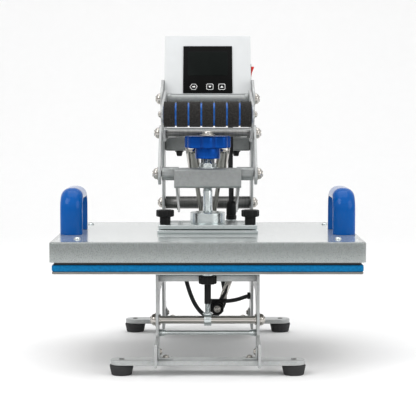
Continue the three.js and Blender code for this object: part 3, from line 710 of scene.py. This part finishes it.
# ---- upper platen
piece("heat_plate", sheet_of("heater_plate", 5, 1.0), coated_plate, "upper_platen",
      stands_for=["heater_plate"])
COVER_LOW, COVER_HIGH = corners("platen_cover")
cover_size = (COVER_HIGH[0] - COVER_LOW[0], COVER_HIGH[1] - COVER_LOW[1])
cover_middle = (0, (COVER_LOW[1] + COVER_HIGH[1]) / 2)
platen_y = cover_middle[1]
COVER_TOP = COVER_HIGH[2]


def cover_shell():
    """A folded sheet lid: rounded outside edge, straight skirt, and an open underside."""
    wall, edge = 2.0, 3.2
    profile = [(wall, COVER_LOW[2]), (0, COVER_LOW[2])]
    for k in range(9):
        angle = math.pi / 2 * k / 8
        profile.append((edge * (1 - math.cos(angle)), COVER_TOP - edge * (1 - math.sin(angle))))
    profile.append((9, COVER_TOP))
    inside = [(9, COVER_TOP - wall), (wall + 1.5, COVER_TOP - wall), (wall, COVER_TOP - wall - 1.5)]
    rings = []
    for inset, height in profile + inside:
        outline = rectangle(cover_size[0] - 2 * inset, cover_size[1] - 2 * inset, max(1.5, 8 - inset),
                            cover_middle, 8)
        rings.append([(x, y, height) for x, y in outline])
    return loft(rings, closed=True)


lid_outline = rectangle(cover_size[0] - 17.9, cover_size[1] - 17.9, 1.5, cover_middle, 8)
lid = extruded([lid_outline], COVER_TOP - 2, COVER_TOP, 0.02, 1)
cover = joined((cover_shell(), FLAT), lid)
bmesh.ops.remove_doubles(cover, verts=cover.verts, dist=0.03)
piece("cover", cover, cover_paint, "upper_platen", stands_for=["platen_cover"])
screw_heads = []
recess_shade_crosses = []
for side_x in (-1, 1):
    for side_y in (-1, 1):
        place = at(side_x * 213, platen_y + side_y * 145, COVER_TOP + 0.1)
        head, recess_shade_cross = pan_head()
        screw_heads.append((head, place))
        recess_shade_crosses.append((recess_shade_cross, place))
piece("cover_screws", joined(*screw_heads), zinc_plate, "upper_platen")
# The dark crosses are painted shade standing for the screws' recesses.
piece("cover_screw_recess_shade", joined(*recess_shade_crosses), dark_steel, "upper_platen")

for label in ("lower", "upper"):
    low, high = corners(f"mount_plate_{label}")
    bottom = low[2] if label == "lower" else high[2] - 7
    spare = 1.5 if label == "lower" else 0
    plate = block((low[0] - spare, low[1], bottom), (high[0] + spare, high[1], high[2]), 0.8, 3)
    piece(f"{label}_mount_plate", plate, zinc_plate, "upper_platen", stands_for=[f"mount_plate_{label}"])
    if label == "lower":
        spacers = [(tube(0, 3.5, high[2] + 0.1, 224, 0.2, 24), at(x, y))
                   for x in (-77, 77) for y in (low[1] + 12, high[1] - 12)]
        piece("mount_spacers", joined(*spacers), dark_steel, "upper_platen")
MOUNT_TOP = high[2]
on_spindle = at(0, platen_y)
rim = corners("spindle_cup")[1][2]
cup = turned([(0, MOUNT_TOP + 0.2), (29.6, MOUNT_TOP + 0.2), (30, MOUNT_TOP + 1), (30, rim - 1.4),
              (28.5, rim),
              (13, rim), (12, rim - 1.2), (8.4, rim - 1.2), (8.4, rim - 13.5), (0, rim - 13.5)], 0.5, 96)
piece("cup", cup, zinc_plate, "upper_platen", on_spindle, ["spindle_cup"])

# ---- loop handles
FLAT_SIDE = 4.5          # how far the bar's widest line lies inside its middle line
DOME_RISE = 15
FLAT_RISE = 6


def handle(label):
    """A moulded loop: a wide half-oval bar bent over into two legs with flat feet."""
    low, high = corners(f"loop_handle_{label}")
    x = (low[0] + high[0]) / 2
    half_width = (high[0] - low[0]) / 2
    half_bar = 10.5
    legs = (low[1] + half_bar, high[1] - half_bar)
    ridge = high[2] - half_bar
    middle_line = [(legs[0], low[2]), (legs[0], ridge), (legs[1], ridge), (legs[1], low[2])]
    middle_line = fillet(middle_line, 25, False, 14)
    route = []
    for (y0, z0), (y1, z1) in zip(middle_line, middle_line[1:]):
        parts = max(1, round(math.hypot(y1 - y0, z1 - z0) / 6))
        route += [(y0 + (y1 - y0) * k / parts, z0 + (z1 - z0) * k / parts) for k in range(parts)]
    route.append(middle_line[-1])
    rings = []
    for i, (y, z) in enumerate(route):
        ahead, behind = route[min(i + 1, len(route) - 1)], route[max(i - 1, 0)]
        ty, tz = ahead[0] - behind[0], ahead[1] - behind[1]
        length = math.hypot(ty, tz)
        ny, nz = -tz / length, ty / length
        ring = []
        for k in range(40):
            angle = 2 * math.pi * k / 40
            c, s = math.cos(angle), math.sin(angle)
            u = half_width * math.copysign(abs(c) ** 0.88, c)
            v = (DOME_RISE * s if s > 0 else -FLAT_RISE * abs(s) ** 0.6) - FLAT_SIDE
            ring.append((x + u, y + ny * v, z + nz * v))
        rings.append(ring)
    return loft(rings)


for label, _ in sides:
    piece(f"handle_{label}", handle(label), handle_blue, "upper_platen", stands_for=[f"loop_handle_{label}"])

# ---- tee knobs, gland
for label, side in sides:
    low, high = corners(f"tee_knob_{label}")
    x, y, _ = middle(f"tee_knob_{label}")
    foot, top = low[2], high[2]
    stem = turned([(0, foot), (9.25, foot), (9.25, top - 12), (6.5, top - 10.5), (0, top - 10.5)], 0.8)
    head = extruded([lobed(15.25, 8, 1.6)], top - 12, top, 2.4, 4)
    dish = tube(0, 8.5, top - 0.4, top + 0.3, 0.2)
    knob = joined(stem, head, dish)
    piece(f"clamp_knob_{label}", knob, black_plastic, f"tee_knob_{label}", at(x, y), [f"tee_knob_{label}"])

low, high = corners("cable_gland")
gland_x, gland_y, _ = middle("cable_gland")
foot, mouth = low[2], high[2]
dome = [(8.4, foot + 17), (9, foot + 18), (9, foot + 33), (8, foot + 38), (6.9, mouth), (6.1, mouth),
        (6.1, foot + 17)]
gland = joined((turned(dome, 0.5), FLAT), (hex_nut(16.6, foot + 9, foot + 16.8, 5), FLAT))
piece("gland_body", gland, black_plastic, "upper_platen", at(gland_x, gland_y), ["cable_gland"])
flange = joined((tube(5, 10.5, 0, 2, 0.5), FLAT), (hex_nut(17, 2, 8.6, 5), FLAT))
piece("gland_nut", flange, zinc_plate, "upper_platen", at(gland_x, gland_y, COVER_TOP + 0.1))

# ---- pressure spindle and knob
spindle_foot = corners("spindle")[0][2]
KNOB_LOW, KNOB_HIGH = corners("pressure_knob")
knob_foot, knob_top = KNOB_LOW[2], KNOB_HIGH[2]
shank_top = spindle_foot + 51
smooth_end = tube(0, 8, spindle_foot, shank_top, 0.4, 64)
thread = threaded(7.8, shank_top - 2, 358, 2, 0.8, 48)
spindle = joined(smooth_end, thread)
piece("pressure_spindle", spindle, zinc_plate, "pressure_screw", on_spindle, ["spindle"])
cap = [(0, 0), (11.5, 0), (11.5, 1), (10.2, 1.2), (10.2, 3.4)]
cap += [(8.2 * math.cos(a) + 1.4, 4 + 5 * math.sin(a)) for a in (math.radians(11 * k) for k in range(8))]
cap += [(0, 9)]
boss = joined((turned([(0, 0), (14, 0), (14, 1.2), (12, 2.2), (0, 2.2)], 0.5), at(0, 0, knob_top)),
              (turned(cap, 0.3), at(0, 0, knob_top + 0.4)))
piece("knob_cap_nut", boss, chrome, "pressure_screw", on_spindle)
hub = tube(8.2, 21.5, knob_foot, knob_foot + 19, 1.2, 72)
wheel = extruded([lobed(40.5, 7, 7), circle((0, 0), 5.3)], knob_top - 21, knob_top, 3.2, 5)
knob_place = on_spindle @ Matrix.Rotation(-math.pi / 2, 4, "Z")
knob = joined(hub, wheel)
piece("star_knob", knob, knob_blue, "pressure_screw", knob_place, ["pressure_knob"])

# ---- head
BEAM_BOTTOM = corners("head_beam")[0][2]
BEAM_TOP = 325.5
BEAM_HALF = 57.5
BEAM_REAR = platen_y + 22
tube_outline = rectangle(44, BEAM_TOP - BEAM_BOTTOM, 5, (platen_y, (BEAM_BOTTOM + BEAM_TOP) / 2), 6)
box = joined((extruded([tube_outline], -BEAM_HALF, BEAM_HALF, 0.8), SIDE))
box = drilled(box, 8.4, BEAM_BOTTOM - 5, BEAM_TOP + 5, on_spindle)
bracket = extruded([belt([(-20, 302, 9.5), (*SPRING_TOP, 9), (-20, 313, 9.5)])], -12, 12, 1.2)
piece("beam", joined(box, (bracket, SIDE)), shaded_grey_paint, "head", stands_for=["head_beam"])
pin = turned(both_ends([(0, 38), (8, 38), (8, 35.3), (5, 35.3)]), 0.7)
piece("spring_pin", pin, chrome, "head", along_x(SPRING_TOP))
nut = joined((hex_nut(26, 0.1, 9, 8.1), FLAT), (tube(8.1, 17, 0, 1.8), FLAT))
piece("beam_nut", nut, zinc_plate, "head", at(0, platen_y, BEAM_TOP))
for label, side in sides:
    shaft = turned([(0, 50), (11.6, 50), (11.6, 79), (5, 79), (5, 86), (0, 86)], 0.4, 64)
    place = along_x(BEAM_SHAFT, side)
    piece(f"link_shaft_{label}", shaft, shaded_grey_paint, "head", place, [f"beam_shaft_{label}"])
    piece(f"link_bolt_{label}", dome_head(), chrome, "head", at(side * 85.9) @ place)

    arm_low, arm_high = corners(f"head_arm_{label}")
    rear_y = HEAD_PIVOT[0]
    boss_arc = [((rear_y + 19 * math.cos(a), HEAD_PIVOT[1] + 19 * math.sin(a)), 0)
                for a in (math.radians(255 + 180 * k / 20) for k in range(21))]
    arm_marks = [((BEAM_REAR + 0.3, BEAM_BOTTOM), 1), ((60, 268), 40), *boss_arc, ((60, 306), 40),
                 ((BEAM_REAR + 0.3, BEAM_TOP), 1)]
    arm_outline = fillet([p for p, _ in arm_marks], [r for _, r in arm_marks], steps=6)
    arm = extruded([arm_outline, circle(HEAD_PIVOT, 10.8)], arm_low[0], arm_high[0], 0.9)
    piece(f"arm_{label}", arm, grey_paint, "head", SIDE, [f"head_arm_{label}"])

sleeve = both_ends([(7.4, 79.6), (11.8, 79.6), (11.8, 58), (14.5, 58), (14.5, 56.8), (11.8, 56.8)])
piece("hinge_sleeve", turned(sleeve, 0.3, 64), dark_steel, "head", along_x(HEAD_PIVOT), ["pivot_sleeve"])

# ---- toggle lever
LEVER_IN, LEVER_OUT = (corner[0] for corner in corners("lever_plate_right"))
lever_outline = belt([(*GRIP, 14), (*KNEE, 15), (62, 384, 13), (*LEVER_PIVOT, 16)])
for label, side in sides:
    faces = sorted((side * LEVER_IN, side * LEVER_OUT))
    plate = extruded([lever_outline, circle(LEVER_PIVOT, 5.3), circle(GRIP, 4.8)], *faces, bevel=0.8)
    piece(f"lever_side_{label}", plate, grey_paint, "lever", SIDE, [f"lever_plate_{label}"])
inner = LEVER_IN - 0.3
pivot_tube = turned(both_ends([(5.4, inner), (9.8, inner), (9.8, inner - 7), (8, inner - 7)]), 0.5)
piece("lever_bush_tube", pivot_tube, shaded_grey_paint, "lever", along_x(LEVER_PIVOT), ["lever_pivot_tube"])
knee = turned(both_ends([(0, inner), (9.5, inner), (9.5, inner - 4), (6.5, inner - 4)]), 0.5)
piece("knee_bar", knee, dark_steel, "lever", along_x(KNEE), ["knee_rod"])
web = block((-inner, -92, 391.5), (inner, -72, 395.5), 0.8, 3)
piece("lever_web", web, grey_paint, "lever")
axle_heads = [(dome_head(5.2, 4.9, 2.2), at(side * (LEVER_OUT + 0.1)) @ along_x(GRIP, side))
              for _, side in sides]
axle = joined((tube(0, 4.5, -79, 79, 0.3), along_x(GRIP)), *axle_heads)
piece("grip_bolt", axle, chrome, "lever", stands_for=["grip_axle"])

GRIP_LOW, GRIP_HIGH = corners("roller_grip")
foam_radius = (GRIP_HIGH[2] - GRIP_LOW[2]) / 2
grip_half = GRIP_HIGH[0]
SLEEVES = 7
ring_width = 3
pitch = (2 * grip_half + ring_width) / SLEEVES
core = turned([(4.8, -grip_half), (17, -grip_half), (17.5, -grip_half + 0.5), (19.6, -grip_half + 0.5),
               (19.6, grip_half - 0.5), (17, grip_half - 0.5), (17, grip_half), (4.8, grip_half)], 0.3, 72)
piece("grip_core", core, core_blue, "grip", along_x(GRIP), ["roller_grip"])
for index in range(SLEEVES):
    start = -grip_half + index * pitch
    end = start + pitch - ring_width
    sleeve = tube(19.65, foam_radius, start, end, 1.1, 96, 4)
    foam = piece(f"foam_sleeve_{index + 1}", sleeve, grip_foam, "grip", along_x(GRIP))

# ---- toggle links
LINK_IN = corners("toggle_link_right")[0][0]
for label, side in sides:
    faces = sorted((side * LINK_IN, side * 85.3))
    link = extruded([belt([(*BEAM_SHAFT, 19), (*KNEE, 14)]), circle(BEAM_SHAFT, 5.3)], *faces, bevel=0.9)
    piece(f"link_{label}", link, grey_paint, "toggle_links", SIDE, [f"toggle_link_{label}"])
    knee_place = at(side * 85.4) @ along_x(KNEE, side)
    piece(f"knee_bolt_{label}", dome_head(), chrome, "toggle_links", knee_place)


# ---- gas springs
TOP_EYE_X = 28
LOW_EYE_X = 5.5


def down_spring(side):
    """Where a spring starts, turned so that +Z runs down it, and its length between the eyes."""
    top = Vector((side * TOP_EYE_X, *SPRING_TOP))
    foot = Vector((side * LOW_EYE_X, *SPRING_FOOT))
    turn = Vector((0, 0, 1)).rotation_difference((foot - top).normalized())
    return Matrix.Translation(top) @ turn.to_matrix().to_4x4(), (foot - top).length


for label, side in sides:
    place, span = down_spring(side)
    can = [(0, -9), (7, -8.5), (10, -6), (11, -2), (11, 76), (10, 78.5), (9.6, 80), (4.6, 80), (4.6, 76),
           (0, 76)]
    eye = tube(5.3, 8.2, -6, 6, 0.8)
    barrel = joined((turned(can, 0.6, 64), place), (eye, at(side * TOP_EYE_X) @ along_x(SPRING_TOP)))
    piece(f"spring_barrel_{label}", barrel, chrome, "spring_tubes", stands_for=[f"gas_spring_tube_{label}"])
    rod = turned([(0, 44), (4, 44), (4, span - 16), (4.8, span - 15), (4.8, span - 7), (0, span - 7)], 0.5)
    lower_eye = tube(3.4, 9, -3, 3, 0.6)
    stay = joined((rod, place), (lower_eye, at(side * LOW_EYE_X) @ along_x(SPRING_FOOT)))
    piece(f"spring_stay_{label}", stay, chrome, f"spring_rod_{label}", stands_for=[f"gas_spring_rod_{label}"])

# ---- control head
case_half = corners("control_case")[1][0]
case_outer = [(136.8, 454), (248, 454), (248, 544), (232, 563), (199.7, 563)]
cheek = fillet(case_outer, [0.5, 3, 3, 3, 0.5], steps=4)
band = fillet([*case_outer, (198.6, 561), (231, 561), (246, 543.2), (246, 456), (138, 456)],
              [0.2, 3, 3, 3, 0.2, 0.2, 1.5, 1.5, 1.5, 0.2], steps=4)
ROCKER = pivot("rocker_hinge")
switch_hole = rectangle(17, 26, 1, ROCKER, 3)
shell = extruded([band], 2.1 - case_half, case_half - 2.1, 0.3)
left_cheek = extruded([cheek], -case_half, 2 - case_half, 0.7, 3)
right_cheek = extruded([cheek, switch_hole], case_half - 2, case_half, 0.7, 3)
case = joined((shell, SIDE), (left_cheek, SIDE), (right_cheek, SIDE))
piece("case", case, case_paint, "base", stands_for=["control_case"])
panel_tilt = at(0, 134, 454) @ Matrix.Rotation(math.radians(-30), 4, "X")
upright_panel = panel_tilt @ Matrix.Rotation(math.pi / 2, 4, "X")
panel = extruded([rectangle(2 * case_half, 125.9, 2.5, (0, 62.95), 4)], -2, 0, 0.6, 3)
piece("panel", panel, case_paint, "base", upright_panel, ["control_panel"])
glass = extruded([rectangle(91, 100.9, 1.2, (0, 51.75), 4)], 0.3, 2.5, 0.5, 3)
piece("display", glass, display_glass, "base", upright_panel, ["display_glass"])
window = extruded([rectangle(74, 52, 2.5, (0, 64), 5)], 2.45, 2.62, 0.05, 1)
piece("display_screen", window, display_window, "base", upright_panel)


def placed(outline, x, scale, flip=1):
    """A key's outline at its size, centred on x."""
    return [(x + scale * u, KEY_Y + flip * scale * v) for u, v in outline]


def icon(*loops):
    """A thin printed shape on the display glass."""
    return extruded(loops, 2.45, 2.6, 0.04, 1), FLAT


hexagon = [(math.cos(math.radians(60 * k)), math.sin(math.radians(60 * k))) for k in range(6)]
square = rectangle(1.8, 1.8, 0.35, steps=4)
arrow = [(-0.8, -0.22), (0.1, -0.22), (0.1, -0.6), (0.9, 0), (0.1, 0.6), (0.1, 0.22), (-0.8, 0.22)]
triangle = [(-0.9, -0.6), (0.9, -0.6), (0, 0.75)]
KEY_Y = 14
KEY_SIZE = 7
KEY_HOLE = 6.2
icons = [icon(placed(hexagon, -26, KEY_SIZE), placed(hexagon, -26, KEY_HOLE)), icon(placed(arrow, -26, 3.6))]
for x, flip in ((4, -1), (26, 1)):
    icons.append(icon(placed(square, x, KEY_SIZE), placed(square, x, KEY_HOLE)))
    icons.append(icon(placed(triangle, x, 3, flip)))
piece("key_icons", joined(*icons), key_print, "base", upright_panel)

modules = [(block((x - 9, 15.5, z - 7), (x + 9, 26, z + 7), 0.8), FLAT)
           for x, z in ((-40, 60), (10, 40), (-10, 85))]
board = joined((block((-58, 14, 14), (58, 16, 106), 0.4), FLAT), *modules)
piece("controller_board", board, circuit_board, "base", panel_tilt, ["control_board"])

rocker_profile = [(-4, -11), (3.6, -11), (5.4, -1), (9.9, 10.5), (-4, 10.5)]
rocker_profile = fillet(rocker_profile, [0.5, 1.2, 6, 1.6, 0.5], steps=5)
rocker_place = at(77.5, ROCKER[0] + 7.5, ROCKER[1]) @ Matrix.Rotation(math.pi / 2, 4, "X")
rocker = extruded([rocker_profile], 0, 15, 0.7, 3)
piece("power_rocker", rocker, switch_red, "rocker", rocker_place, ["rocker_switch"])
bezel_loops = [rectangle(22, 31, 2.5, ROCKER, 5), rectangle(16.6, 25.4, 1, ROCKER, 3)]
bezel = extruded(bezel_loops, case_half + 0.1, case_half + 1.2, 0.4, 3)
piece("switch_bezel", bezel, black_plastic, "base", SIDE)

inlet_x, _, inlet_z = middle("power_inlet")
inlet_rear = -corners("power_inlet")[1][1]
rear_view = at(inlet_x, 0, inlet_z) @ Matrix.Rotation(math.pi / 2, 4, "X")
opening = rectangle(22, 12, 2, steps=4)
flange_outline = fillet([(-25, 0), (-14, -13), (14, -13), (25, 0), (14, 13), (-14, 13)], 4, steps=5)
flange = extruded([flange_outline, opening], inlet_rear, inlet_rear + 2.2, 0.5)
socket = extruded([rectangle(26, 16, 2, steps=4), opening], -248.4, -228, 0.4)
socket_floor = extruded([rectangle(25, 15, 2, steps=4)], -230, -227, 0.4)
inlet = joined(flange, socket, socket_floor)
piece("inlet", inlet, black_plastic, "base", rear_view, ["power_inlet"])
blades = [(block((x - 0.9, y - 3, -246), (x + 0.9, y + 3, -229), 0.3), FLAT)
          for x, y in ((-6, -1.5), (0, 1.5), (6, -1.5))]
piece("inlet_pins", joined(*blades), zinc_plate, "base", rear_view)


# ---- cables held by the press
def cable(points, radius):
    """A round cable along a smooth curve through its points."""
    return swept(smooth_route(points, 8), circle((0, 0), radius, 20))


heater_route = [(43, 103, 238), (43, 103, 254), (43, 103, 270), (43, 112, 294), (43, 134, 304),
                (43, 158, 297), (43, 176, 286), (43, 192, 284), (43, 201, 300), (43, 201, 340),
                (43, 200, 400), (43, 197, 470)]
heater_cable = finished("heater_cable", cable(heater_route, 4.6), cable_sheath, sharp=180)
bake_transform(heater_cable)
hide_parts("heater_cable_head", "heater_cable_base")

lower_route = [(-45, 195, 150), (-41, 195, 104), (-26, 195, 60), (-6, 195, 36), (16, 195, 36),
               (30, 195, 56), (32, 195, 80), (27, 195, 112), (26, 195, 150)]
sensor_route = [(41, 190, 150), (40, 190, 112), (36, 188, 88), (27, 186, 70), (15, 184, 55), (9, 184, 52)]
side_route = [(13, 183, 62), (24, 183, 64), (38, 184, 64), (54, 187, 66), (68, 190, 70), (79, 192, 73)]
piece("lower_cable", cable(lower_route, 4), cable_sheath, "base", stands_for=["base_cable"], sharp=70)
piece("sensor_cable", cable(sensor_route, 3.2), cable_sheath, "base", sharp=70)
piece("side_cable", cable(side_route, 3.8), cable_sheath, "base", sharp=70)
ANCHOR_LOW = corners("spring_anchor")[0]
ANCHOR_BAR = 154         # underside of the anchor's bar
socket_rear = ANCHOR_LOW[1] + 14
sockets = [(block((x - half, y - 7, ANCHOR_BAR - 9), (x + half, socket_rear, ANCHOR_BAR - 0.2), 1.5, 3), FLAT)
           for x, y, half in ((-45, 195, 7), (33.5, 193, 14.5))]
piece("cable_sockets", joined(*sockets), black_plastic, "base")
piece("cable_grommet", tube(0, 6.5, 75, 80.3, 1), black_rubber, "base", along_x((192, 73)))
piece("cable_junction", block((4, 178.4, 43), (30, 188.5, 68), 2.5, 4), black_plastic, "base")
clamp = lathe([(4.5, 0), (11.5, 0), (11.5, 7), (10.5, 8), (7, 8), (6, 6.5), (4.5, 6.5)], 48)
clamp_place = at(18, 178, 50) @ Matrix.Rotation(math.pi / 2, 4, "X")
piece("cable_clamp", clamp, black_plastic, "base", clamp_place)
piece("cable_clamp_bolt", dome_head(5, 4.5, 2.2), chrome, "base", clamp_place @ at(0, 0, 6))
strap = joined((block((-3, 60, -10), (17, 72, -7.5), 0.5), FLAT),
               (block((-3, 0, -10), (9, 62, -7.5), 0.5), FLAT))
piece("cable_clamp_strap", strap, chrome, "base", clamp_place @ Matrix.Rotation(math.radians(-20), 4, "Z"))


# ---- stage and light
def stage_sheet():
    """A pale floor that curves up into a backdrop."""
    reach, bend_start, bend = 12, 2.2, 1.5
    profile = [(-reach, 0), (bend_start, 0)]
    for k in range(1, 11):
        angle = math.radians(9 * k)
        profile.append((bend_start + bend * math.sin(angle), bend - bend * math.cos(angle)))
    profile.append((bend_start + bend, 5))
    bm = bmesh.new()
    rows = [[bm.verts.new((x, y, z)) for x in (-reach, reach)] for y, z in profile]
    for lower, upper in zip(rows, rows[1:]):
        bm.faces.new((lower[0], lower[1], upper[1], upper[0]))
    mesh = bpy.data.meshes.new("floor")
    bm.to_mesh(mesh)
    bm.free()
    mesh.shade_smooth()
    obj = bpy.data.objects.new("floor", mesh)
    scene.collection.objects.link(obj)
    return obj


floor_paint = surface("floor_paint", (0.92, 0.92, 0.92), 0.7, mottle=0.005, grain=0.02)
floor = stage_sheet()
floor.data.materials.append(floor_paint)


def soft_light(name, place, target, size, power):
    data = bpy.data.lights.new(name, "AREA")
    data.shape = "RECTANGLE"
    data.size, data.size_y = size
    data.energy = power
    light = bpy.data.objects.new(name, data)
    light.location = place
    light.rotation_euler = (Vector(target) - Vector(place)).to_track_quat("-Z", "Y").to_euler()
    scene.collection.objects.link(light)


soft_light("key", (-1.6, -1.8, 2.3), (0, 0, 0.25), (1.6, 1.6), 30)
soft_light("fill", (2.2, -1.6, 1.3), (0, 0, 0.25), (1.8, 1.8), 18)
soft_light("top", (0, 0.1, 2.6), (0, 0, 0.2), (2.2, 2.2), 22)


def studio_world(strength):
    """White above, and dimmer towards the horizon and below, so that polished metal has contrast."""
    world = bpy.data.worlds.new("studio")
    world.use_nodes = True
    nodes, links = world.node_tree.nodes, world.node_tree.links
    coordinates = nodes.new("ShaderNodeTexCoord")
    height = nodes.new("ShaderNodeSeparateXYZ")
    shade = nodes.new("ShaderNodeValToRGB")
    stops = ((0.0, 0.55), (0.10, 0.62), (0.30, 0.95))
    shade.color_ramp.elements.new(0.5)
    for element, (position, value) in zip(shade.color_ramp.elements, stops):
        element.position = position
        element.color = (value, value, value, 1)
    links.new(coordinates.outputs["Generated"], height.inputs["Vector"])
    links.new(height.outputs["Z"], shade.inputs["Fac"])
    links.new(shade.outputs["Color"], nodes["Background"].inputs["Color"])
    nodes["Background"].inputs["Strength"].default_value = strength
    scene.world = world


studio_world(0.95)
scene.view_settings.view_transform = "Standard"
